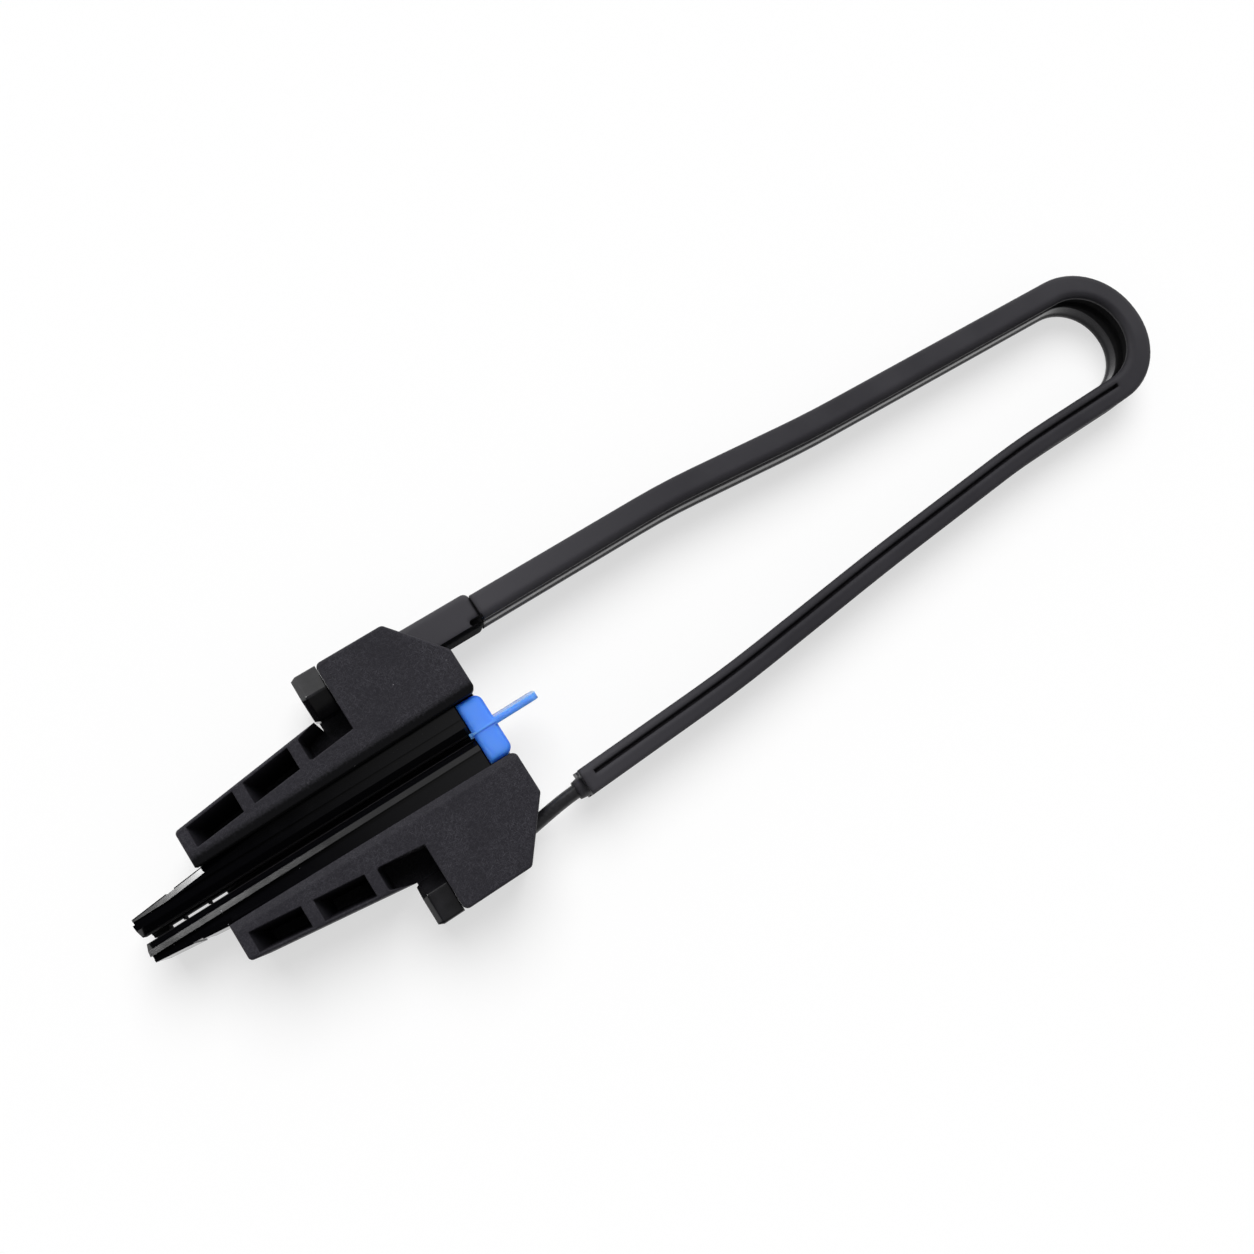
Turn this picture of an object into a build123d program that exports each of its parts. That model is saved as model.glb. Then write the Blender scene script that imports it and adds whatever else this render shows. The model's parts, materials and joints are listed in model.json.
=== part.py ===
"""Drop cable clamp: a tapered body, two cable wedges with their retainer, and a corded bail.

Sizes are in millimetres. +X points from the clamp body to the bail's loop, +Y is the side of the
sleeve and +Z is up. The pieces are drawn from the plane of the ears' rear faces and then set with
the origin in the middle of the body's base.
"""
import os
from math import atan, cos, degrees, pi, radians, sin, tan

from build123d import *

os.makedirs("parts", exist_ok=True)

# Clamp body
body_length = 68.8
body_height = 20.5
narrow_half_width = 15.6
floor_thickness = 3.5
rim_thickness = 3.5
slot_half_narrow = 7.0
slot_half_wide = 8.0
slot_corner_radius = 1.5
rim_bevel_width = 1.7
rim_bevel_drop = 0.5

# Ears of the body
ear_length = 26.8
ear_half_span = 31.2
ear_overhang = 10.0
ear_chamfer_length = 10.1
ear_rear_half_width = 18.6

# Pockets along the sides of the body
pocket_floor = 3.0
pocket_wall = 0.8
pocket_draft = 4.0
cavity_wall = 2.8
end_wall = 2.6
rib_thickness = 2.7
third_pocket_length = 11.1
third_pocket_mouth = 6.4
head_shelf_width = 3.0

# Moulded edges
narrow_corner_radius = 1.0
ear_corner_radius = 1.3
ear_root_radius = 0.8
third_pocket_radius = 0.7
top_edge_radius = 0.6

# Wedges
wedge_tip_x = -85.4
wedge_rear_x = -1.0
wedge_tip_half_width = 5.1
wedge_taper = 6.3
wedge_gap = 1.6
wedge_clearance = 0.3
ridge_rise = 1.0
crest_width = 1.3
crest_drop = 0.5
lead_in_width = 1.6
lead_in_drop = 1.9
side_groove_width = 0.8
side_groove_depth = 0.8
wedge_bevel_width = 1.2
wedge_bevel_drop = 0.5
rail_width = 0.25
rail_drop = 0.15
cable_axis_z = 10.0
cable_radius = 2.3
rail_gap_station = 8.2
rail_gap_length = 2.0
tip_nub_length = 3.6
nub_length = 0.3
nub_gap = 0.3
nub_height = 3.5
nub_stations = (6.9, 12.8)

# Retainer across the rear of the wedges
seat_length = 5.0
seat_height = 14.2
cap_thickness = 3.7
retainer_half_width = 7.6
retainer_rear_x = 0.2
retainer_corner_radius = 2.0
retainer_edge_bevel = 0.8
tooth_length = 0.8
tooth_width = 1.2
seam_width = 0.45
seam_rise = 0.3
key_length = 1.2
key_depth = 1.7
key_offset = 1.6
key_arch_half_width = 3.2
tab_length = 10.8
tab_thickness = 1.5
tab_height = 5.2
tab_lean = 1.3
tab_end_radius = 1.5

# Bail: cord passages in the ears, cord, thimble and heads
passage_inset = 6.1
passage_z = 10.0
passage_clearance = 0.6
cord_diameter = 3.4
cord_fit = 0.1
channel_fit = 0.2
thimble_height = 12.0
web_thickness = 1.7
channel_half_gap = 1.9
flange_reach = 2.9
flange_half_height = 5.4
flange_edge_bevel = 0.45
lip_bevel_width = 1.3
lip_bevel_drop = 0.9
lip_height = 1.5
groove_depth = 1.1
groove_height = 3.7
groove_slope = 0.6
face_setback = 0.3
foot_height = 1.4
foot_bevel = 0.5
bead_width = 2.45
bead_slant = 0.6
crevice_width = 0.45
crevice_depth = 2.0
crevice_start_x = 182.0
crevice_end_x = 12.8
strip_end_length = 3.0
sleeve_front_x = -11.0
sleeve_rear_x = 10.3
sleeve_width = 8.6
sleeve_height = 8.8
sleeve_edge_radius = 1.2
sleeve_corner_radius = 1.6
sleeve_notch_length = 3.2
sleeve_notch_width = 1.5
sleeve_notch_depth = 3.0
collar_length = 2.2
collar_diameter = 4.4
collar_flare = 10.0
socket_clearance = 0.45
bail_travel = 8.0
head_gap = 0.3
head_length = 6.3
head_height = 11.0
head_reach = 4.5
head_facet_width = 3.3
head_edge_radius = 0.8
head_front_bevel = 1.2
head_front_inset = 0.6
head_wall = 1.6
left_head_roll = 27.0
floor_gap = 0.05

# Route of the cord in the plane of the bail, from the left head round the loop to the right head
loop_far_x = 197.6
passage_y = ear_half_span - passage_inset
cord_end_x = -ear_length - head_gap - head_length + head_wall
route_points = [
    (cord_end_x, passage_y),
    (64.0, passage_y),
    (105.0, 21.6),
    (loop_far_x, 18.7),
    (loop_far_x, -12.0),
    (150.0, -12.4),
    (100.0, -16.2),
    (52.0, -20.9),
    (4.0, -22.8),
    (-13.0, -passage_y),
    (cord_end_x, -passage_y),
]
loop_bend_share = 0.49
leg_bend_share = 0.2


def point_on_run(start, end, x):
    """The point at x on the straight run between two points of the route."""
    share = (x - start[0]) / (end[0] - start[0])
    return (x, start[1] + share * (end[1] - start[1]))


# The thimble follows the cord round the loop and down the right leg, where its top has a crevice
loop_points = [
    (sleeve_rear_x, passage_y),
    *route_points[1:5],
    point_on_run(route_points[4], route_points[5], crevice_start_x),
]
leg_points = [
    loop_points[-1],
    *route_points[5:8],
    point_on_run(route_points[7], route_points[8], crevice_end_x),
]

side_half_width = ear_half_span - ear_overhang
ear_middle_y = ear_half_span - ear_overhang / 2


def side_y(x):
    """Half width of the body's tapered side at x."""
    share = (x + body_length) / (body_length - ear_length)
    return narrow_half_width + share * (side_half_width - narrow_half_width)


def wedge_y(x):
    """Distance of a wedge's outer side from the centre plane at x."""
    return wedge_tip_half_width + tan(radians(wedge_taper)) * (x - wedge_tip_x)


def cavity_y(x):
    """Half width of the cavity that the wedges slide in."""
    return wedge_y(x) + wedge_clearance


def pocket_y(x):
    """Inner side of a pocket, a wall away from the cavity."""
    return cavity_y(x) + cavity_wall


def bend_radii(points):
    """Radius at each bend, from the share of the shorter run beside it that the bend takes."""
    radii = []
    for before, here, after in zip(points, points[1:], points[2:]):
        run_in = Vector(*here) - Vector(*before)
        run_out = Vector(*after) - Vector(*here)
        turn = radians(run_in.get_angle(run_out))
        share = loop_bend_share if here[0] == loop_far_x else leg_bend_share
        radii.append(share * min(run_in.length, run_out.length) / tan(turn / 2))
    return radii


# Planes and levels shared by the pieces
rim_underside = body_height - rim_thickness
wedge_bottom = floor_thickness + wedge_clearance
wedge_top = rim_underside - wedge_clearance
ear_front_x = -ear_length
socket_floor_x = sleeve_front_x - bail_travel - socket_clearance
channel_bottom = -cord_diameter / 2 - channel_fit
bead_inner = channel_bottom - web_thickness
bead_outer = bead_inner + bead_width
strip_top = thimble_height / 2
ear_middle = ear_length / 2
rim_rest_x = loop_far_x + bead_inner + foot_bevel
bail_tilt = atan((passage_z - thimble_height / 2 - floor_gap) / (rim_rest_x + ear_middle))
bail_plane = Plane(
    origin=(0, 0, passage_z - ear_middle * tan(bail_tilt)),
    x_dir=(cos(bail_tilt), 0, -sin(bail_tilt)),
    z_dir=(sin(bail_tilt), 0, cos(bail_tilt)),
)


def bail_section(x, y):
    """Plane across the bail's legs: its x points to +Y and its y points up."""
    return Plane(
        origin=bail_plane.from_local_coords(Vector(x, y, 0)),
        x_dir=bail_plane.y_dir,
        z_dir=bail_plane.x_dir,
    )


def across_bail(path, share):
    """Plane across a path of the bail: its x points out of the loop and its y points up."""
    tangent = path % share
    return Plane(origin=path @ share, x_dir=bail_plane.z_dir.cross(tangent), z_dir=tangent)


def strip_top_z(across):
    """Level of the strip's sloping top between the lip's bevel and the flange's edge."""
    top_start = bead_inner + lip_bevel_width
    share = (across - top_start) / (flange_reach - flange_edge_bevel - top_start)
    return strip_top + share * (flange_half_height - strip_top)


# Section of the strip about the cord: lip and groove inside the loop, foot below, channel outside
lip_under = strip_top - lip_height
groove_low = lip_under - groove_height
foot_top = foot_height - strip_top
crevice_floor = strip_top - crevice_depth
strip_inside = [
    (bead_inner + foot_bevel, -strip_top),
    (bead_inner, foot_bevel - strip_top),
    (bead_inner, foot_top),
    (bead_inner + face_setback, foot_top + face_setback),
    (bead_inner + face_setback, groove_low - groove_slope),
    (bead_inner + groove_depth, groove_low),
    (bead_inner + groove_depth, lip_under),
    (bead_inner, lip_under),
    (bead_inner, strip_top - lip_bevel_drop),
    (bead_inner + lip_bevel_width, strip_top),
]
strip_crevice = [
    (bead_outer - bead_slant, strip_top_z(bead_outer - bead_slant)),
    (bead_outer, crevice_floor),
    (bead_outer + crevice_width, crevice_floor),
    (bead_outer + crevice_width, strip_top_z(bead_outer + crevice_width)),
]
strip_outside = [
    (flange_reach - flange_edge_bevel, flange_half_height),
    (flange_reach, flange_half_height - flange_edge_bevel),
    (flange_reach, channel_half_gap),
    (channel_bottom, channel_half_gap),
    (channel_bottom, -channel_half_gap),
    (flange_reach, -channel_half_gap),
    (flange_reach, flange_edge_bevel - flange_half_height),
    (flange_reach - flange_edge_bevel, -flange_half_height),
]
strip_outline = strip_inside + strip_outside
crevice_outline = strip_inside + strip_crevice + strip_outside

# Outline of a head about the cord, with its point towards the body
head_outline = [
    (-head_reach, 0),
    (head_facet_width - head_reach, head_height / 2),
    (passage_inset, head_height / 2),
    (passage_inset, -head_height / 2),
    (head_facet_width - head_reach, -head_height / 2),
]

# Clamp body: plan outline with both ears
with BuildPart() as clamp_body:
    with BuildSketch():
        with BuildLine() as half_outline:
            Polyline(
                (-body_length, 0),
                (-body_length, narrow_half_width),
                (ear_front_x, side_half_width),
                (ear_front_x, ear_half_span),
                (-ear_chamfer_length, ear_half_span),
                (0, ear_rear_half_width),
                (0, 0),
            )
            mirror(half_outline.line, about=Plane.XZ)
        make_face()
    extrude(amount=body_height)
    corners = clamp_body.edges().filter_by(Axis.Z).group_by(Axis.X)
    ear_tips = corners[1].filter_by(lambda edge: abs(edge.center().Y) > ear_middle_y)
    ear_roots = corners[1].filter_by(lambda edge: abs(edge.center().Y) < ear_middle_y)
    fillet(corners[0], narrow_corner_radius)
    fillet(corners[2] + corners[3] + ear_tips, ear_corner_radius)
    fillet(ear_roots, ear_root_radius)
    fillet(clamp_body.faces().sort_by(Axis.Z)[-1].edges(), top_edge_radius)

    # Tapered cavity of the wedges, open at both ends
    with BuildSketch(Plane.XY.offset(floor_thickness)):
        with BuildLine() as half_cavity:
            Polyline(
                (-body_length, 0),
                (-body_length, cavity_y(-body_length)),
                (0, cavity_y(0)),
                (0, 0),
            )
            mirror(half_cavity.line, about=Plane.XZ)
        make_face()
    extrude(amount=rim_underside - floor_thickness, mode=Mode.SUBTRACT)

    # Slot between the rims, rounded at its rear mouth, with a shallow bevel along each rim
    with BuildSketch(Plane.XY.offset(rim_underside)) as slot_plan:
        with BuildLine() as half_slot:
            Polyline(
                (-body_length, 0),
                (-body_length, slot_half_narrow),
                (0, slot_half_wide),
                (0, ear_rear_half_width),
                (ear_length, ear_rear_half_width),
                (ear_length, 0),
            )
            mirror(half_slot.line, about=Plane.XZ)
        make_face()
        fillet(slot_plan.vertices().group_by(Axis.X)[1].sort_by(Axis.Y)[1:3], slot_corner_radius)
    extrude(amount=rim_thickness, mode=Mode.SUBTRACT)
    with BuildSketch(Plane.XY.offset(body_height - rim_bevel_drop)):
        with BuildLine() as half_bevel:
            Polyline(
                (-body_length, 0),
                (-body_length, slot_half_narrow),
                (0, slot_half_wide),
                (0, 0),
            )
            mirror(half_bevel.line, about=Plane.XZ)
        make_face()
    rim_slope = degrees(atan(rim_bevel_width / rim_bevel_drop))
    extrude(amount=rim_bevel_drop, taper=-rim_slope, mode=Mode.SUBTRACT)

    # Pockets on both sides, open at the top and drafted towards their floors
    pocket_length = (ear_front_x - third_pocket_length + body_length - end_wall) / 2 - rib_thickness
    pocket_starts = [-body_length + end_wall + n * (pocket_length + rib_thickness) for n in range(3)]
    with BuildSketch(Plane.XY.offset(body_height)):
        for start in pocket_starts[:2]:
            end = start + pocket_length
            with BuildLine():
                Polyline(
                    (start, pocket_y(start)),
                    (end, pocket_y(end)),
                    (end, side_y(end) - pocket_wall),
                    (start, side_y(start) - pocket_wall),
                    close=True,
                )
            make_face()
        mirror(about=Plane.XZ)
    extrude(amount=pocket_floor - body_height, taper=pocket_draft, mode=Mode.SUBTRACT)
    with BuildSketch(Plane.XY.offset(pocket_floor)) as third_pocket:
        start = pocket_starts[2]
        mouth = ear_front_x - third_pocket_mouth
        with BuildLine():
            Polyline(
                (start, pocket_y(start)),
                (ear_front_x, pocket_y(ear_front_x)),
                (ear_front_x, side_half_width + ear_root_radius),
                (mouth, side_half_width + ear_root_radius),
                (mouth, side_y(mouth)),
                (start, side_y(start) - pocket_wall),
                close=True,
            )
        make_face()
        fillet(third_pocket.vertices().group_by(Axis.X)[0], third_pocket_radius)
        mirror(about=Plane.XZ)
    extrude(amount=body_height, mode=Mode.SUBTRACT)

    # Shelf under each head, in line with the floors of the pockets
    with BuildSketch():
        with Locations((ear_front_x, side_half_width), (ear_front_x, -side_half_width)):
            Rectangle(2 * third_pocket_mouth, 2 * head_shelf_width)
    extrude(amount=pocket_floor)

    # Cord passages through the ears and the sockets behind them
    passages = [(passage_y, passage_z), (-passage_y, passage_z)]
    with BuildSketch(Plane.YZ.offset(ear_front_x)):
        with Locations(*passages):
            Circle(cord_diameter / 2 + passage_clearance)
    extrude(amount=ear_length, mode=Mode.SUBTRACT)
    with BuildSketch(Plane.YZ.offset(socket_floor_x)):
        with Locations(*passages):
            RectangleRounded(
                sleeve_width + 2 * socket_clearance,
                sleeve_height + 2 * socket_clearance,
                sleeve_edge_radius,
            )
    extrude(amount=-socket_floor_x, mode=Mode.SUBTRACT)

# Left wedge: tapered outside, lead-in and groove for the cable inside
with BuildPart() as wedge_left:
    inner_y = wedge_gap / 2
    rail_top = wedge_top - wedge_bevel_drop - rail_drop
    bevel_angle = degrees(atan(wedge_bevel_width / wedge_bevel_drop))
    for low, high, inset, slope in (
        (wedge_bottom, rail_top, 0, 0),
        (rail_top, rail_top + rail_drop, rail_width, 0),
        (rail_top + rail_drop, wedge_top, rail_width, bevel_angle),
    ):
        with BuildSketch(Plane.XY.offset(low)):
            with BuildLine():
                Polyline(
                    (wedge_tip_x, inner_y),
                    (wedge_rear_x, inner_y),
                    (wedge_rear_x, wedge_y(wedge_rear_x) - inset),
                    (wedge_tip_x, wedge_tip_half_width - inset),
                    close=True,
                )
            make_face()
        extrude(amount=high - low, taper=slope)

    # Ridge beside the cable: a sloping crest and a steep lead-in
    with BuildSketch(Plane.YZ.offset(wedge_tip_x)):
        with BuildLine():
            crest_top = wedge_top + ridge_rise
            lead_in_top = crest_top - crest_drop
            Polyline(
                (inner_y, cable_axis_z),
                (inner_y, lead_in_top - lead_in_drop),
                (inner_y + lead_in_width, lead_in_top),
                (inner_y + lead_in_width + crest_width, crest_top),
                (inner_y + lead_in_width + crest_width, cable_axis_z),
                close=True,
            )
        make_face()
    extrude(amount=wedge_rear_x - wedge_tip_x)
    with BuildSketch(Plane.YZ.offset(wedge_tip_x)):
        with BuildLine():
            Polyline(
                (inner_y, lead_in_top - lead_in_drop),
                (inner_y + lead_in_width, lead_in_top),
                (inner_y, lead_in_top),
                close=True,
            )
        make_face()
        with Locations((inner_y + lead_in_width + crest_width + side_groove_width / 2, wedge_top)):
            Rectangle(side_groove_width, 2 * side_groove_depth)
        with Locations((0, cable_axis_z)):
            Circle(cable_radius)
    extrude(amount=wedge_rear_x - wedge_tip_x, mode=Mode.SUBTRACT)

    # Gap in the rail along the outer side, near the tip
    rail_gap_x = wedge_tip_x + rail_gap_station
    with BuildSketch(Plane.XY.offset(wedge_bottom)):
        with BuildLine():
            Polyline(
                (rail_gap_x, wedge_y(rail_gap_x) - rail_width),
                (rail_gap_x + rail_gap_length, wedge_y(rail_gap_x + rail_gap_length) - rail_width),
                (rail_gap_x + rail_gap_length, ear_half_span),
                (rail_gap_x, ear_half_span),
                close=True,
            )
        make_face()
    extrude(amount=wedge_top - wedge_bottom, mode=Mode.SUBTRACT)

    # Seat and cross groove of the retainer at the rear
    seat_start = wedge_rear_x - seat_length
    key_start = seat_start + key_offset
    with BuildSketch(Plane.XZ):
        with BuildLine():
            Polyline(
                (seat_start, body_height),
                (seat_start, seat_height),
                (key_start - wedge_clearance, seat_height),
                (key_start - wedge_clearance, seat_height - key_depth - wedge_clearance),
                (key_start + key_length + wedge_clearance, seat_height - key_depth - wedge_clearance),
                (key_start + key_length + wedge_clearance, seat_height),
                (wedge_rear_x, seat_height),
                (wedge_rear_x, body_height),
                close=True,
            )
        make_face()
    extrude(amount=-ear_half_span, mode=Mode.SUBTRACT)

    # Nubs that keep the tips apart
    nub_width = (wedge_gap - nub_gap) / 2
    with BuildSketch(Plane.XY.offset(wedge_bottom)):
        for station, length in ((0, tip_nub_length), *((station, nub_length) for station in nub_stations)):
            with Locations((wedge_tip_x + station, inner_y)):
                Rectangle(length, nub_width, align=(Align.MIN, Align.MAX))
    extrude(amount=nub_height)

with BuildPart() as wedge_right:
    mirror(wedge_left.part, about=Plane.XZ)

# Retainer: a cap over both wedges, a key in their cross grooves and a pull tab
with BuildPart() as wedge_retainer:
    cap_bottom = seat_height + wedge_clearance
    cap_top = cap_bottom + cap_thickness
    cap_front_x = seat_start + wedge_clearance
    cap_length = retainer_rear_x - cap_front_x
    with BuildSketch(Plane.XY.offset(cap_bottom)) as cap_plan:
        with Locations((cap_front_x, 0)):
            Rectangle(cap_length, 2 * retainer_half_width, align=(Align.MIN, Align.CENTER))
        fillet(cap_plan.vertices().group_by(Axis.X)[-1], retainer_corner_radius)
    extrude(amount=cap_thickness)
    chamfer(wedge_retainer.faces().sort_by(Axis.Z)[-1].edges(), retainer_edge_bevel)
    with BuildSketch(Plane.XZ.offset(-retainer_half_width)):
        with Locations((key_start + key_length / 2, cap_bottom - key_depth / 2)):
            Rectangle(key_length, key_depth)
    extrude(amount=2 * retainer_half_width)
    with BuildSketch(Plane.YZ.offset(key_start)):
        with Locations((0, cap_bottom - key_depth)):
            Rectangle(2 * key_arch_half_width, 2 * key_depth)
    extrude(amount=key_length, mode=Mode.SUBTRACT)

    # Tooth between the ridges and the raised seam from it to the tab
    with BuildSketch(Plane.XY.offset(cap_bottom)):
        with Locations((cap_front_x + retainer_edge_bevel, 0)):
            Rectangle(tooth_length + retainer_edge_bevel, tooth_width, align=(Align.MAX, Align.CENTER))
    extrude(amount=cap_thickness - retainer_edge_bevel)
    with BuildSketch(Plane.XY.offset(cap_bottom)):
        with Locations((cap_front_x, 0)):
            Rectangle(cap_length, seam_width, align=(Align.MIN, Align.CENTER))
    extrude(amount=cap_thickness + seam_rise)

    # Leaning pull tab
    with BuildSketch(Plane.YZ.offset(retainer_rear_x - retainer_edge_bevel)):
        with BuildLine():
            Polyline(
                (-tab_thickness / 2, cap_top),
                (tab_thickness / 2, cap_top),
                (tab_thickness / 2 + tab_lean, cap_top - tab_height),
                (tab_lean - tab_thickness / 2, cap_top - tab_height),
                close=True,
            )
        make_face()
    extrude(amount=tab_length + retainer_edge_bevel)
    tab_corners = wedge_retainer.faces().sort_by(Axis.X)[-1].edges().sort_by(Axis.Z)
    fillet([tab_corners[0], tab_corners[-1]], tab_end_radius)

# Bail cord: one round cord from head to head
route_radii = bend_radii(route_points)
with BuildPart() as bail_cord:
    with BuildLine(bail_plane) as route:
        FilletPolyline(*route_points, radius=route_radii)
    with BuildSketch(bail_section(cord_end_x, passage_y)):
        Circle(cord_diameter / 2)
    sweep(path=route.wire())

# Bail thimble: flat sleeve on the left, channel strip round the cord and collar on the right
with BuildPart() as bail_thimble:
    with BuildSketch(bail_plane.offset(-sleeve_height / 2)) as sleeve_plan:
        with Locations((sleeve_rear_x, passage_y)):
            Rectangle(sleeve_rear_x - sleeve_front_x, sleeve_width, align=(Align.MAX, Align.CENTER))
        fillet(sleeve_plan.vertices().group_by(Axis.X)[-1], sleeve_corner_radius)
    extrude(amount=sleeve_height)
    sleeve_ends = bail_thimble.faces().sort_by(Axis.Z)
    fillet(sleeve_ends[0].edges() + sleeve_ends[-1].edges(), sleeve_edge_radius)

    # Strip round the cord: plain round the loop, with the crevice down the right leg
    for points, radii, outline in (
        (loop_points, route_radii[:4], strip_outline),
        (leg_points, route_radii[4:7], crevice_outline),
    ):
        with BuildLine(bail_plane) as run:
            FilletPolyline(*points, radius=radii)
        with BuildSketch(across_bail(run.wire(), 0)):
            Polygon(*outline, align=None)
        sweep(path=run.wire())
    strip_end = across_bail(run.wire(), 1)
    with BuildSketch(strip_end):
        Polygon(*strip_outline, align=None)
    extrude(amount=strip_end_length)

    # Blind end of the strip's inner groove in the sleeve, and the sleeve's bore
    with BuildSketch(bail_plane.offset(sleeve_height / 2)):
        with Locations((sleeve_rear_x, passage_y + bead_inner + sleeve_notch_width / 2)):
            SlotOverall(2 * sleeve_notch_length, sleeve_notch_width)
    extrude(amount=-sleeve_notch_depth, mode=Mode.SUBTRACT)
    with BuildSketch(bail_section(sleeve_front_x, passage_y)):
        Circle(cord_diameter / 2 + cord_fit)
    extrude(amount=sleeve_rear_x - sleeve_front_x, mode=Mode.SUBTRACT)

    # Flared collar round the bare cord at the other end of the strip
    collar_plane = strip_end.offset(strip_end_length + collar_length)
    with BuildSketch(-collar_plane):
        Circle(collar_diameter / 2)
    extrude(amount=2 * collar_length, taper=-collar_flare)
    with BuildSketch(-collar_plane):
        Circle(cord_diameter / 2 + cord_fit)
    extrude(amount=2 * collar_length, mode=Mode.SUBTRACT)

# Heads of the cord in front of the ears; the left one is rolled towards the outside
with BuildPart() as bail_head_left:
    head_plane = bail_section(ear_front_x - head_gap, passage_y)
    with BuildSketch(head_plane):
        Polygon(*head_outline, rotation=-left_head_roll, align=None)
    extrude(amount=-head_length)
    fillet(bail_head_left.edges().filter_by(bail_plane.location.x_axis), head_edge_radius)
    head_front = bail_head_left.faces().sort_by(Axis.X)[0]
    chamfer(head_front.edges(), head_front_inset, head_front_bevel, reference=head_front)
    with BuildSketch(head_plane):
        Circle(cord_diameter / 2 + cord_fit / 2)
    extrude(amount=-(head_length - head_wall), mode=Mode.SUBTRACT)

with BuildPart() as bail_head_right:
    head_plane = bail_section(ear_front_x - head_gap, -passage_y)
    with BuildSketch(head_plane):
        Polygon(*((-across, up) for across, up in head_outline), align=None)
    extrude(amount=-head_length)
    fillet(bail_head_right.edges().filter_by(bail_plane.location.x_axis), head_edge_radius)
    head_front = bail_head_right.faces().sort_by(Axis.X)[0]
    chamfer(head_front.edges(), head_front_inset, head_front_bevel, reference=head_front)
    with BuildSketch(head_plane):
        Circle(cord_diameter / 2 + cord_fit / 2)
    extrude(amount=-(head_length - head_wall), mode=Mode.SUBTRACT)

for node, piece in (
    ("clamp_body", clamp_body),
    ("wedge_left", wedge_left),
    ("wedge_right", wedge_right),
    ("wedge_retainer", wedge_retainer),
    ("bail_cord", bail_cord),
    ("bail_thimble", bail_thimble),
    ("bail_head_left", bail_head_left),
    ("bail_head_right", bail_head_right),
):
    placed = piece.part.moved(Location((body_length / 2, 0, 0)))
    placed.label = node
    export_step(placed, f"parts/{node}.step")

cord_volume = pi * cord_diameter**2 / 4 * route.wire().length
print("cord length", route.wire().length)
print("cord volume over section times length", bail_cord.part.volume / cord_volume)
print("bend radii", [round(radius, 1) for radius in route_radii])
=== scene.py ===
"""Looks of the drop cable clamp: finishes for every moulded piece, a pale studio and the photo's camera."""

import json
import math

import bmesh
import bpy
from mathutils import Matrix, Vector

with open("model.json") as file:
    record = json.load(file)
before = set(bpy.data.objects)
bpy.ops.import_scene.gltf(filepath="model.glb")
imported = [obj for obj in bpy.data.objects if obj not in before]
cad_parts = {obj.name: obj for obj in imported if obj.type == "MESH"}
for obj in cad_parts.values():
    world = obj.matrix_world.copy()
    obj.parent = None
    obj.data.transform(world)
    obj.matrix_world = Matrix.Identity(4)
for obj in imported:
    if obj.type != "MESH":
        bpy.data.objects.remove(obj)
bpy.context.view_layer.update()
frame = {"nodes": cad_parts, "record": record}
nodes = frame["nodes"]

MM = 0.001

# Camera of the photo: places and clipping in metres in the clamp's frame, lens and sensor in millimetres
camera_place = Vector((0.01521, -0.02511, 0.27467))
camera_aim = Vector((0.0750, 0.0042, 0.0))
camera_up = Vector((0.515932, 0.832642, 0.201309))
camera_lens = 33.17
sensor_width = 36.0
camera_clip = 0.01

# Floor: its half width in metres, and how far its shadow is thinned
floor_half_width = 6.0
floor_lift = 0.62

# Lamps: elevations and spread in degrees, distances and sizes in metres, the softbox's power in watts; the
# key and the fill are shares of the level at which white paper renders white
lamp_aim = Vector((0.0, 0.0, 0.0))
key_side = Vector((0.45, 0.89, 0.0))
key_elevation = 56.0
key_distance = 1.0
key_spread = 45.0
key_level = 0.82
fill_level = 0.24
softbox_side = Vector((-0.28, 0.96, 0.0))
softbox_elevation = 35.5
softbox_distance = 1.0
softbox_size = 0.16
softbox_power = 1.9

# Room that gloss mirrors: a bright wall on the sleeve's side, and a ceiling that is dark over the narrow
# end, each bounded by coordinates of a direction of length one
wall_glow = 1.0
wall_top = 0.8
wall_full = 0.62
wall_end = -0.35
ceiling_dark = 0.008
ceiling_glow = 0.38
ceiling_blend = 0.12

# Painted shade on the lip of the slot on the key's side, black with a ragged edge, in millimetres
lip_half_width = 7.5
lip_taper = 1.0 / 68.8
lip_width = 2.4
lip_fade = 1.4
lip_grain = 0.5
lip_raggedness = 2.0

# Walls of the slit between the wedges: dull as far as this from its middle, in millimetres
slit_reach = 1.0
slit_roughness = 1.0

# Bail's strip, in millimetres: its middle falls from the ears to the loop, painted shade in its groove lies
# above that and is deepest at the loop's end, painted light makes it paler from the sleeve's end until the
# end of that light, and painted shade darkens crevices as the share of open air over them falls through
# crevice_span
bail_slope = 0.019
bail_middle = 10.4
groove_low = 0.8
groove_high = 4.5
groove_edge = 0.2
groove_fade = 0.5
groove_deepening = 2.4
groove_start = 45.0
# Where the painted light near the sleeve has faded out
painted_light_end = 110.0
crevice_reach = 3.0
crevice_span = {"From_Min": 0.5, "From_Max": 0.2}
recess_roughness = 0.95
loop_radius = 12.0
loop_middle = next(m["pos_m"] for m in frame["record"]["mounts"] if m["name"] == "bail_loop")

# Share of a normal along the way out of the bail, under which a face is on its inner side
inward_turn = -0.3

# Share of a head's normal towards the key's side, from where painted shade begins to where it is full black
turned_span = {"From_Min": -0.2, "From_Max": -0.5}

# Retainer: how far its edges look domed and how deep light looks for a thin place, in millimetres, and
# the spans of upward normal and of thickness over which painted light makes it paler
dome_radius = 3.0
glow_depth = 3.0
crown_span = {"From_Min": 0.7, "From_Max": 1.0}
thin_span = {"From_Min": 0.45, "From_Max": 0.0}

# Glass fibres, in millimetres and degrees, far coarser than real ones so that they show in the render
fibre_length = 1.2
fibre_width = 0.09
fibre_turns = (12, 58, 103, 151)
fibre_patch = 9.0
fibre_span = {"From_Min": 0.58, "From_Max": 0.78}

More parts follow.
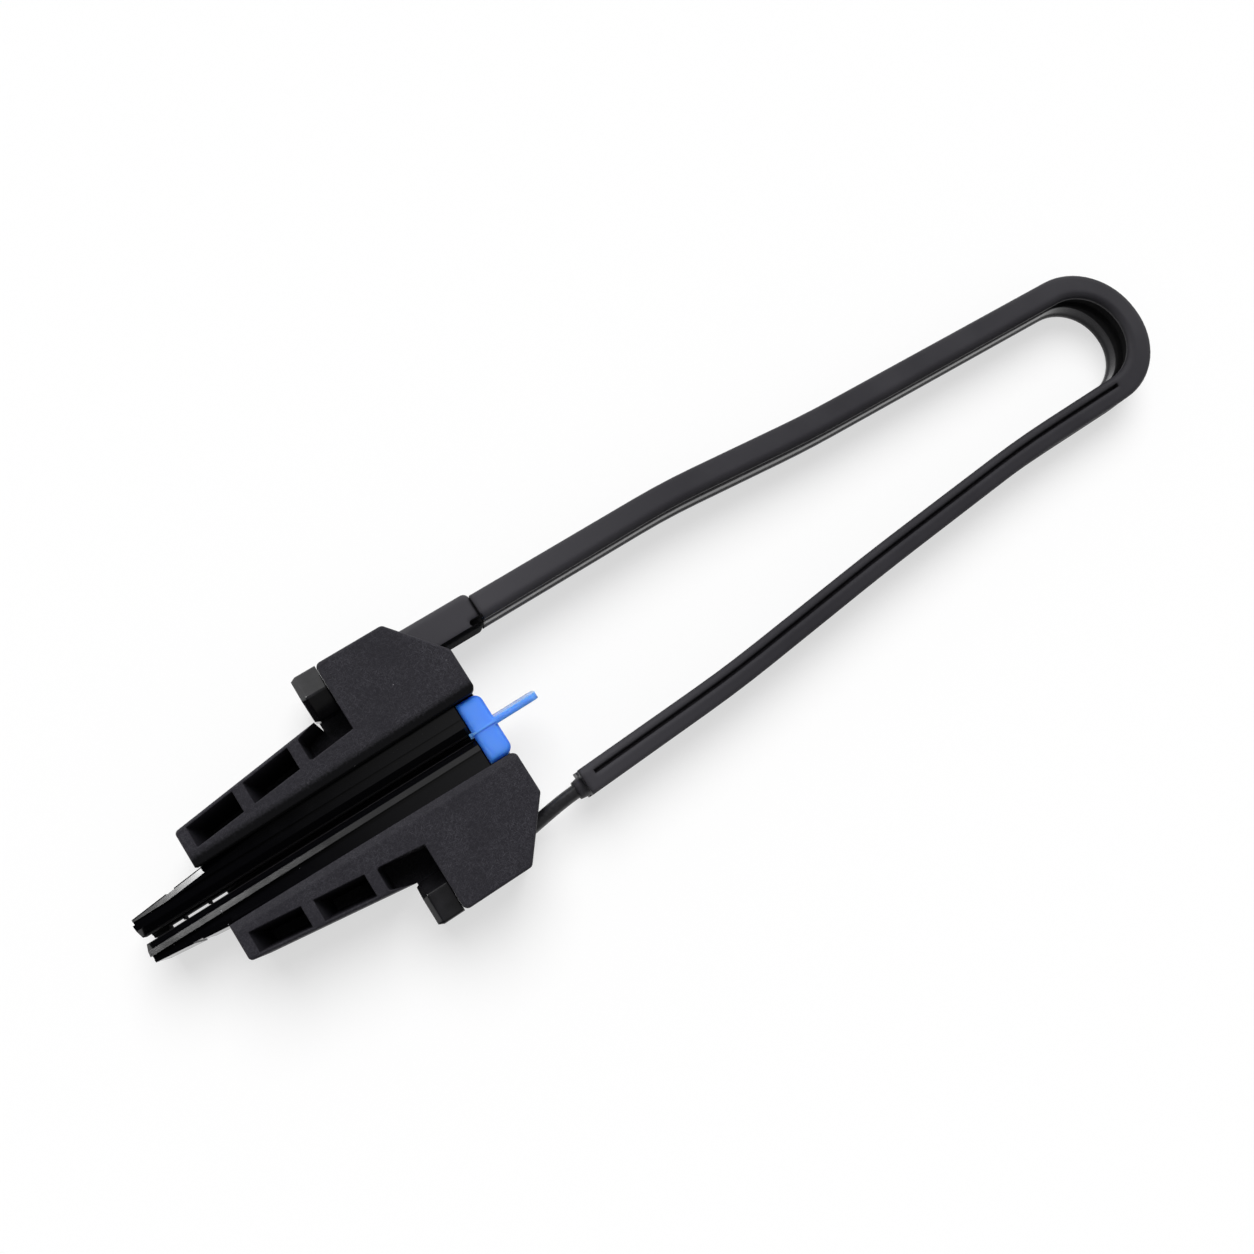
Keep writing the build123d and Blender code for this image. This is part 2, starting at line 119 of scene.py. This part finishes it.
# Grain of the other finishes, in millimetres
body_grain = 0.35
wedge_haze = 4.0
head_haze = 3.0
bail_cloud = 14.0
bail_grain = 0.5
cord_grain = 0.8
retainer_grain = 0.9

# A dust speck's faint edge and full core, as shares of its size
speck_edge = 0.5
speck_core = 0.3

# Refraction of the plastics
POLYAMIDE_IOR = 1.53
GLASS_FILLED_IOR = 1.5
POLYPROPYLENE_IOR = 1.49

# Colours of the finishes
BODY_BLACK = "#212025"
BODY_FIBRE = "#47464c"
# Painted shade on the lip of the slot
LIP_SHADE_BLACK = "#060608"
WEDGE_BLACK = "#060608"
HEAD_BLACK = "#131315"
BAIL_BLACK = "#29282c"
# Pale tone of the bail's and heads' clouds and the cord's grain, and of the painted light near the sleeve
BAIL_PALE = "#3a393d"
# Painted shade for recesses, crevices and the sides that turn from the key
SHADE_BLACK = "#020203"
CORD_BLACK = "#121214"
RETAINER_BLUE = "#2f7cec"
# Painted light on the retainer's upward tops and thin places
RETAINER_GLOW = "#a4d0ff"
DUST = "#a8a8ac"
FLOOR_WHITE = "#f8f8f8"
LIGHT_WHITE = "#ffffff"

# Settings and ranges that several nodes share
TIMES = {"operation": "MULTIPLY"}
TIMES_PLUS = {"operation": "MULTIPLY_ADD"}
MINUS = {"operation": "SUBTRACT"}
LARGER = {"operation": "MAXIMUM"}
ABOVE = {"operation": "GREATER_THAN"}
BELOW = {"operation": "LESS_THAN"}
NEAR = {"operation": "COMPARE"}
COLOURS = {"data_type": "RGBA"}
SMOOTH = {"samples": 8}
NOISE_SPAN = {"From_Min": 0.3, "From_Max": 0.7}


def linear(hex_colour):
    """An sRGB hex colour as a linear colour with alpha."""
    channels = [int(hex_colour[i:i + 2], 16) / 255 for i in (1, 3, 5)]
    return [c / 12.92 if c <= 0.04045 else ((c + 0.055) / 1.055) ** 2.4 for c in channels] + [1.0]


def add(tree, kind, settings=None, **inputs):
    """Adds a node; an input is named, or i and its place, and takes a value, or a node or socket to link."""
    node = tree.nodes.new(kind)
    for name, value in (settings or {}).items():
        setattr(node, name, value)
    for name, value in inputs.items():
        if name[0] == "i" and name[1:].isdigit():
            socket = node.inputs[int(name[1:])]
        else:
            socket = next(s for s in node.inputs if s.enabled and s.name == name.replace("_", " "))
        if isinstance(value, bpy.types.Node):
            value = next(s for s in value.outputs if s.enabled)
        if isinstance(value, bpy.types.NodeSocket):
            tree.links.new(value, socket)
        else:
            socket.default_value = value
    return node


def new_material(name):
    """An empty node material, its tree and the clamp's own coordinates in metres."""
    material = bpy.data.materials.new(name)
    material.use_nodes = True
    tree = material.node_tree
    tree.nodes.clear()
    return material, tree, add(tree, "ShaderNodeTexCoord").outputs["Object"]


def fibre_strokes(tree, place, turn):
    """Thin pale strokes in one direction, like short glass fibres under the skin."""
    about_z = {"rotation_type": "Z_AXIS"}
    turned = add(tree, "ShaderNodeVectorRotate", about_z, Vector=place, Angle=math.radians(turn))
    stretch = (1 / (fibre_length * MM), 1 / (fibre_width * MM), 1 / (fibre_width * MM))
    laid = add(tree, "ShaderNodeMapping", Vector=turned, Scale=stretch)
    noise = add(tree, "ShaderNodeTexNoise", Vector=laid, Scale=1.0, Detail=1.0)
    return add(tree, "ShaderNodeMapRange", Value=noise, **fibre_span)


def dust_specks(tree, place, spacing, size, share, strength):
    """Dots of dust, sized in millimetres, on the given share of places about spacing apart."""
    cells = add(tree, "ShaderNodeTexVoronoi", Vector=place, Scale=1 / (spacing * MM))
    dot = add(
        tree, "ShaderNodeMapRange", Value=cells.outputs["Distance"], From_Min=speck_edge * size / spacing,
        From_Max=speck_core * size / spacing, To_Max=strength,
    )
    pick = add(tree, "ShaderNodeSeparateColor", Color=cells.outputs["Color"])
    chosen = add(tree, "ShaderNodeMath", BELOW, i0=pick, i1=share)
    return add(tree, "ShaderNodeMath", TIMES, i0=dot, i1=chosen)


def moulded_normal(tree, skin, edge, depth):
    """Edges that look rounded by edge millimetres, under a skin whose grain is depth millimetres deep."""
    rounded = add(tree, "ShaderNodeBevel", SMOOTH, Radius=edge * MM)
    return add(tree, "ShaderNodeBump", Height=skin, Distance=depth * MM, Normal=rounded)


def finish(tree, **sockets):
    """Gives the material one principled shader with these sockets."""
    shader = add(tree, "ShaderNodeBsdfPrincipled", **sockets)
    add(tree, "ShaderNodeOutputMaterial", Surface=shader)


def rays_that_see(tree, *kinds):
    """One for the rays of these kinds and nought for the rest, such as those that carry the fill light."""
    path = add(tree, "ShaderNodeLightPath").outputs
    seen = path[kinds[0]]
    for kind in kinds[1:]:
        seen = add(tree, "ShaderNodeMath", LARGER, i0=seen, i1=path[kind])
    return seen


def slot_lip_shade(tree, place):
    """Painted shade: one on the lip of the slot that faces away from the key, fading raggedly into the top.
    """
    axes = add(tree, "ShaderNodeSeparateXYZ", Vector=place).outputs
    edge = add(tree, "ShaderNodeMath", TIMES_PLUS, i0=axes["X"], i1=lip_taper, i2=lip_half_width * MM)
    outward = add(tree, "ShaderNodeMath", MINUS, i0=axes["Y"], i1=edge)
    ragged = add(tree, "ShaderNodeTexNoise", Vector=place, Scale=1 / (lip_grain * MM), Detail=3.0)
    reach = add(tree, "ShaderNodeMath", TIMES_PLUS, i0=ragged, i1=lip_raggedness * MM, i2=outward)
    lip = add(
        tree, "ShaderNodeMapRange", Value=reach, From_Min=(lip_width + lip_fade) * MM,
        From_Max=lip_width * MM,
    )
    far_side = add(tree, "ShaderNodeMath", ABOVE, i0=axes["Y"], i1=0.0)
    return add(tree, "ShaderNodeMath", TIMES, i0=lip, i1=far_side)


def inside_of_bail(tree, place):
    """Masks of the bail's inner side: one of painted shade in the strip's groove and on the sleeve, one
    below the groove.
    """
    axes = add(tree, "ShaderNodeSeparateXYZ", Vector=place).outputs

    # Faces turned to the inside: across the legs, and to the middle of the round end
    past = add(tree, "ShaderNodeMath", MINUS, i0=axes["X"], i1=loop_middle[0])
    round_end = add(tree, "ShaderNodeMath", LARGER, i0=past, i1=0.0)
    across = add(tree, "ShaderNodeMath", MINUS, i0=axes["Y"], i1=loop_middle[1])
    spoke = add(tree, "ShaderNodeCombineXYZ", X=round_end, Y=across)
    outwards = add(tree, "ShaderNodeVectorMath", {"operation": "NORMALIZE"}, i0=spoke)
    facing = add(tree, "ShaderNodeNewGeometry").outputs["True Normal"]
    away = add(tree, "ShaderNodeVectorMath", {"operation": "DOT_PRODUCT"}, i0=outwards, i1=facing)
    inward = add(tree, "ShaderNodeMath", BELOW, i0=away.outputs["Value"], i1=inward_turn)
    on_strip = add(tree, "ShaderNodeMath", ABOVE, i0=axes["X"], i1=groove_start * MM)
    inside = add(tree, "ShaderNodeMath", TIMES, i0=inward, i1=on_strip)

    # Painted shade in the groove: the band under the lip, which reaches lower round the end
    level = add(tree, "ShaderNodeMath", TIMES_PLUS, i0=axes["X"], i1=bail_slope, i2=axes["Z"])
    groove_top = bail_middle + groove_high
    under_lip = add(
        tree, "ShaderNodeMapRange", Value=level, From_Min=groove_top * MM,
        From_Max=(groove_top - groove_edge) * MM,
    )
    drop = groove_deepening / loop_radius
    deepened = add(tree, "ShaderNodeMath", TIMES_PLUS, i0=round_end, i1=drop, i2=level)
    groove_bottom = bail_middle + groove_low
    over_face = add(
        tree, "ShaderNodeMapRange", Value=deepened, From_Min=(groove_bottom - groove_fade) * MM,
        From_Max=(groove_bottom + groove_edge) * MM,
    )
    band = add(tree, "ShaderNodeMath", TIMES, i0=over_face, i1=under_lip)
    groove = add(tree, "ShaderNodeMath", TIMES, i0=band, i1=inside)

    # Painted shade on the sleeve: what faces the inside before the strip begins, on the sleeve's leg only
    before_strip = add(tree, "ShaderNodeMath", MINUS, i0=inward, i1=inside)
    far_side = add(tree, "ShaderNodeMath", ABOVE, i0=axes["Y"], i1=0.0)
    sleeve_side = add(tree, "ShaderNodeMath", TIMES, i0=before_strip, i1=far_side)
    dark = add(tree, "ShaderNodeMath", LARGER, i0=groove, i1=sleeve_side)
    below = add(tree, "ShaderNodeMath", MINUS, i0=1.0, i1=over_face)
    return dark, add(tree, "ShaderNodeMath", TIMES, i0=below, i1=inside)


def glass_filled_polyamide():
    """Moulded black polyamide with glass: matte, short pale fibres every way, a little dust, painted shade
    on the slot's lip.
    """
    material, tree, place = new_material("glass_filled_polyamide")
    fibres = fibre_strokes(tree, place, fibre_turns[0])
    for turn in fibre_turns[1:]:
        more = fibre_strokes(tree, place, turn)
        fibres = add(tree, "ShaderNodeMath", LARGER, i0=fibres, i1=more)
    patches = add(tree, "ShaderNodeTexNoise", Vector=place, Scale=1 / (fibre_patch * MM))
    strength = add(tree, "ShaderNodeMapRange", Value=patches, To_Min=0.4, To_Max=1.0, **NOISE_SPAN)
    share = add(tree, "ShaderNodeMath", TIMES, i0=fibres, i1=strength)
    fibred = add(tree, "ShaderNodeMix", COLOURS, Factor=share, A=linear(BODY_BLACK), B=linear(BODY_FIBRE))
    # Painted shade: the lip of the slot on the key's side is painted black
    lip = slot_lip_shade(tree, place)
    lip_shaded = add(tree, "ShaderNodeMix", COLOURS, Factor=lip, A=fibred, B=linear(LIP_SHADE_BLACK))
    dust = dust_specks(tree, place, spacing=3.2, size=0.26, share=0.3, strength=0.6)
    dusty = add(tree, "ShaderNodeMix", COLOURS, Factor=dust, A=lip_shaded, B=linear(DUST))
    skin = add(tree, "ShaderNodeTexNoise", Vector=place, Scale=1 / (body_grain * MM), Detail=3.0)
    matte = add(tree, "ShaderNodeMapRange", Value=skin, To_Min=0.56, To_Max=0.68, **NOISE_SPAN)
    finish(
        tree, Base_Color=dusty, Roughness=matte, IOR=GLASS_FILLED_IOR, Specular_IOR_Level=0.25,
        Normal=moulded_normal(tree, skin, edge=0.5, depth=0.01),
    )
    return material


def polished_polyamide():
    """Moulded in a polished tool: black that mirrors the studio, with haze and dust, dull in the slit."""
    material, tree, place = new_material("polished_polyamide")
    haze = add(tree, "ShaderNodeTexNoise", Vector=place, Scale=1 / (wedge_haze * MM), Detail=4.0)
    gloss = add(tree, "ShaderNodeMapRange", Value=haze, To_Min=0.1, To_Max=0.16, **NOISE_SPAN)
    dust = dust_specks(tree, place, spacing=3.6, size=0.28, share=0.35, strength=0.7)
    dusty = add(tree, "ShaderNodeMix", COLOURS, Factor=dust, A=linear(WEDGE_BLACK), B=linear(DUST))
    across = add(tree, "ShaderNodeSeparateXYZ", Vector=place).outputs["Y"]
    in_slit = add(tree, "ShaderNodeMath", NEAR, i0=across, i1=0.0, i2=slit_reach * MM)
    skin = add(tree, "ShaderNodeMix", Factor=in_slit, A=gloss, B=slit_roughness)
    rippled = add(tree, "ShaderNodeBump", Height=haze, Distance=0.004 * MM)
    finish(tree, Base_Color=dusty, Roughness=skin, IOR=POLYAMIDE_IOR, Normal=rippled)
    return material


def overmoulded_polyamide():
    """Moulded on to the cord's end: glossy dark grey, edges rounded, painted shade black where it turns from
    the key.
    """
    material, tree, place = new_material("overmoulded_polyamide")
    haze = add(tree, "ShaderNodeTexNoise", Vector=place, Scale=1 / (head_haze * MM), Detail=4.0)
    gloss = add(tree, "ShaderNodeMapRange", Value=haze, To_Min=0.14, To_Max=0.2, **NOISE_SPAN)
    share = add(tree, "ShaderNodeMapRange", Value=haze, To_Max=0.2, **NOISE_SPAN)
    hazed = add(tree, "ShaderNodeMix", COLOURS, Factor=share, A=linear(HEAD_BLACK), B=linear(BAIL_PALE))
    # Painted shade: black on the side that turns from the key
    facing = add(tree, "ShaderNodeNewGeometry").outputs["True Normal"]
    sideways = add(tree, "ShaderNodeSeparateXYZ", Vector=facing).outputs["Y"]
    turned = add(tree, "ShaderNodeMapRange", Value=sideways, **turned_span)
    shaded = add(tree, "ShaderNodeMix", COLOURS, Factor=turned, A=hazed, B=linear(SHADE_BLACK))
    finish(
        tree, Base_Color=shaded, Roughness=gloss, IOR=POLYAMIDE_IOR,
        Normal=moulded_normal(tree, haze, edge=0.6, depth=0.01),
    )
    return material


def satin_polyamide():
    """Moulded in a blasted tool: satin black with faint clouds, painted light near the sleeve, painted shade
    in its groove, crevices and the sleeve's inner side, smoother below the groove.
    """
    material, tree, place = new_material("satin_polyamide")
    clouds = add(tree, "ShaderNodeTexNoise", Vector=place, Scale=1 / (bail_cloud * MM), Detail=4.0)
    share = add(tree, "ShaderNodeMapRange", Value=clouds, To_Max=0.4, **NOISE_SPAN)
    along = add(tree, "ShaderNodeSeparateXYZ", Vector=place).outputs["X"]
    # Painted light: paler on the sleeve and the start of the strip, fading out along the strip
    painted_light = add(
        tree, "ShaderNodeMapRange", Value=along, From_Min=painted_light_end * MM, From_Max=groove_start * MM
    )
    paler = add(tree, "ShaderNodeMath", LARGER, i0=share, i1=painted_light)
    cloudy_and_lit = add(tree, "ShaderNodeMix", COLOURS, Factor=paler, A=linear(BAIL_BLACK), B=linear(BAIL_PALE))
    # Painted shade: black where little open air lies over a crevice, in the groove and on the sleeve's inner
    # side
    openness = add(tree, "ShaderNodeAmbientOcclusion", SMOOTH, Distance=crevice_reach * MM).outputs["AO"]
    closed = add(tree, "ShaderNodeMapRange", Value=openness, To_Max=0.7, **crevice_span)
    groove, face = inside_of_bail(tree, place)
    recess = add(tree, "ShaderNodeMath", LARGER, i0=closed, i1=groove)
    shaded = add(tree, "ShaderNodeMix", COLOURS, Factor=recess, A=cloudy_and_lit, B=linear(SHADE_BLACK))
    skin = add(tree, "ShaderNodeTexNoise", Vector=place, Scale=1 / (bail_grain * MM), Detail=3.0)
    polish = add(tree, "ShaderNodeMapRange", Value=face, To_Min=0.45, To_Max=0.14)
    satin = add(tree, "ShaderNodeMix", Factor=recess, A=polish, B=recess_roughness)
    finish(
        tree, Base_Color=shaded, Roughness=satin, IOR=POLYAMIDE_IOR, Specular_IOR_Level=0.2,
        Normal=moulded_normal(tree, skin, edge=1.8, depth=0.006),
    )
    return material


def extruded_sheath():
    """Extruded black sheath, smooth with a slight grain: one soft highlight along the cord."""
    material, tree, place = new_material("extruded_sheath")
    grain = add(tree, "ShaderNodeTexNoise", Vector=place, Scale=1 / (cord_grain * MM), Detail=3.0)
    share = add(tree, "ShaderNodeMapRange", Value=grain, To_Max=0.25, **NOISE_SPAN)
    colour = add(tree, "ShaderNodeMix", COLOURS, Factor=share, A=linear(CORD_BLACK), B=linear(BAIL_PALE))
    finish(
        tree, Base_Color=colour, Roughness=0.38, Normal=moulded_normal(tree, grain, edge=0.2, depth=0.008)
    )
    return material


def translucent_polypropylene():
    """Moulded blue polypropylene that light passes into; painted light makes thin places and upward tops
    paler than the thick cap.
    """
    material, tree, place = new_material("translucent_polypropylene")
    # Painted light: paler where the domed tops face up
    domed = add(tree, "ShaderNodeBevel", SMOOTH, Radius=dome_radius * MM)
    upward = add(tree, "ShaderNodeSeparateXYZ", Vector=domed).outputs["Z"]
    crown = add(tree, "ShaderNodeMapRange", Value=upward, To_Max=0.24, **crown_span)
    # Painted light: paler where it is thin, for light passing through it
    inwards = {"inside": True, "only_local": True, **SMOOTH}
    thickness = add(tree, "ShaderNodeAmbientOcclusion", inwards, Distance=glow_depth * MM).outputs["AO"]
    thin = add(tree, "ShaderNodeMapRange", Value=thickness, To_Max=0.6, **thin_span)
    pale = add(tree, "ShaderNodeMath", LARGER, i0=crown, i1=thin)
    colour = add(
        tree, "ShaderNodeMix", COLOURS, Factor=pale, A=linear(RETAINER_BLUE), B=linear(RETAINER_GLOW)
    )
    skin = add(tree, "ShaderNodeTexNoise", Vector=place, Scale=1 / (retainer_grain * MM))
    finish(
        tree, Base_Color=colour, Roughness=0.24, IOR=POLYPROPYLENE_IOR, Subsurface_Weight=0.85,
        Subsurface_Radius=(0.35, 0.7, 1.0), Subsurface_Scale=2.5 * MM,
        Normal=moulded_normal(tree, skin, edge=2.2, depth=0.01),
    )
    return material


def dress(material, *names):
    """Gives CAD nodes their finish."""
    for name in names:
        slots = nodes[name].data.materials
        slots.clear()
        slots.append(material)


def make_floor():
    """A white sheet under the clamp: it keeps the clamp's shadow, thinned as by light from all round."""
    material, tree, _ = new_material("white_paper")
    seen = rays_that_see(tree, "Is Camera Ray", "Is Glossy Ray", "Is Transmission Ray")
    share = add(tree, "ShaderNodeMath", TIMES, i0=seen, i1=floor_lift)
    paper = add(tree, "ShaderNodeBsdfDiffuse", Color=linear(FLOOR_WHITE))
    white = add(tree, "ShaderNodeEmission", Color=linear(LIGHT_WHITE))
    lifted = add(tree, "ShaderNodeMixShader", i0=share, i1=paper, i2=white)
    add(tree, "ShaderNodeOutputMaterial", Surface=lifted)
    sheet = bmesh.new()
    bmesh.ops.create_grid(sheet, x_segments=1, y_segments=1, size=floor_half_width)
    mesh = bpy.data.meshes.new("floor")
    sheet.to_mesh(mesh)
    sheet.free()
    mesh.materials.append(material)
    floor = bpy.data.objects.new("floor", mesh)
    bpy.context.scene.collection.objects.link(floor)


def make_world():
    """White surroundings and an even fill; gloss mirrors a bright wall beside a ceiling dark at one end."""
    world = bpy.data.worlds.new("studio")
    bpy.context.scene.world = world
    world.use_nodes = True
    tree = world.node_tree
    tree.nodes.clear()
    seen = rays_that_see(tree, "Is Camera Ray", "Is Transmission Ray")
    glossy = rays_that_see(tree, "Is Glossy Ray")
    where = add(tree, "ShaderNodeTexCoord").outputs["Generated"]
    axes = add(tree, "ShaderNodeSeparateXYZ", Vector=where).outputs
    rise = add(
        tree, "ShaderNodeMapRange", Value=axes["Z"], From_Min=wall_top, From_Max=wall_full, To_Max=wall_glow
    )
    beside = add(tree, "ShaderNodeMapRange", Value=axes["Y"], From_Min=wall_end, From_Max=0.0)
    wall = add(tree, "ShaderNodeMath", TIMES, i0=rise, i1=beside)
    ceiling = add(
        tree, "ShaderNodeMapRange", Value=axes["X"], From_Min=-ceiling_blend, From_Max=ceiling_blend,
        To_Min=ceiling_dark, To_Max=ceiling_glow,
    )
    mirrored = add(tree, "ShaderNodeMath", LARGER, i0=wall, i1=ceiling)
    unseen = add(tree, "ShaderNodeMix", Factor=glossy, A=fill_level, B=mirrored)
    level = add(tree, "ShaderNodeMix", Factor=seen, A=unseen, B=1.0)
    light = add(tree, "ShaderNodeBackground", Color=linear(LIGHT_WHITE), Strength=level)
    add(tree, "ShaderNodeOutputWorld", Surface=light)


def place_lamp(lamp, place, aim):
    """Stands a lamp at a place and turns it to its aim."""
    holder = bpy.data.objects.new(lamp.name, lamp)
    holder.location = place
    holder.rotation_mode = "QUATERNION"
    holder.rotation_quaternion = (aim - place).to_track_quat("-Z", "Y")
    bpy.context.scene.collection.objects.link(holder)
    return holder


def place_beside(side, elevation, distance):
    """A place on one side of the clamp, at an elevation in degrees and a distance in metres."""
    rise = math.radians(elevation)
    return lamp_aim + distance * (side.normalized() * math.cos(rise) + Vector((0, 0, math.sin(rise))))


def make_lamps():
    """A broad soft key from the sleeve's side, and a small softbox there that only gloss mirrors."""
    key = bpy.data.lights.new("soft_key", "SUN")
    key.angle = math.radians(key_spread)
    key.energy = key_level * math.pi / math.sin(math.radians(key_elevation))
    soft_key = place_lamp(key, place_beside(key_side, key_elevation, key_distance), lamp_aim)
    soft_key.visible_glossy = False
    box = bpy.data.lights.new("softbox", "AREA")
    box.shape = "SQUARE"
    box.size = softbox_size
    box.energy = softbox_power
    softbox = place_lamp(box, place_beside(softbox_side, softbox_elevation, softbox_distance), lamp_aim)
    softbox.visible_diffuse = False
    softbox.visible_transmission = False


def make_camera():
    """The photo's camera."""
    data = bpy.data.cameras.new("camera")
    data.lens = camera_lens
    data.sensor_width = sensor_width
    data.clip_start = camera_clip
    back = (camera_place - camera_aim).normalized()
    right = camera_up.cross(back).normalized()
    up = back.cross(right)
    camera = bpy.data.objects.new("camera", data)
    camera.matrix_world = Matrix.Translation(camera_place) @ Matrix((right, up, back)).transposed().to_4x4()
    bpy.context.scene.collection.objects.link(camera)
    bpy.context.scene.camera = camera


dress(glass_filled_polyamide(), "clamp_body")
dress(polished_polyamide(), "wedge_left", "wedge_right")
dress(translucent_polypropylene(), "wedge_retainer")
dress(extruded_sheath(), "bail_cord")
dress(satin_polyamide(), "bail_thimble")
dress(overmoulded_polyamide(), "bail_head_left", "bail_head_right")
make_floor()
make_world()
make_lamps()
make_camera()
bpy.context.scene.view_settings.view_transform = "Standard"
